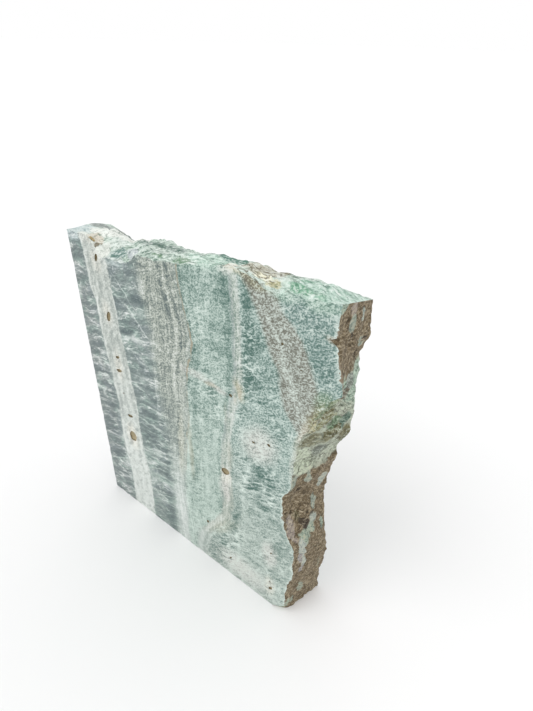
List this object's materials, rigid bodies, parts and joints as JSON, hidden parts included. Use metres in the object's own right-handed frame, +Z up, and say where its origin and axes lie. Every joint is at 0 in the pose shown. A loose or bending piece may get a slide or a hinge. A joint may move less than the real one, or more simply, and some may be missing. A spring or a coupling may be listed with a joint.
{
  "type": "green onyx slab",
  "caption": "Upright slab of banded green onyx with sawn front, back, left end and base, and a broken top and brown-skinned right end.",
  "frame": {"origin": "middle of the bottom of the bounding box, on the sawn base", "axes": "+Z up as the slab stands, -Y out of the sawn face with the open pits, +X towards the naturally broken end"},
  "size_m": [0.1576, 0.025, 0.1877],
  "materials": {
    "banded_green_onyx": "matt sawn faces in grey-green, teal and cream growth bands, mint-green broken edge, brown weathered skin on the right end"
  },
  "bodies": {
    "root": {"onyx_slab": "banded_green_onyx"}
  },
  "joints": []
}
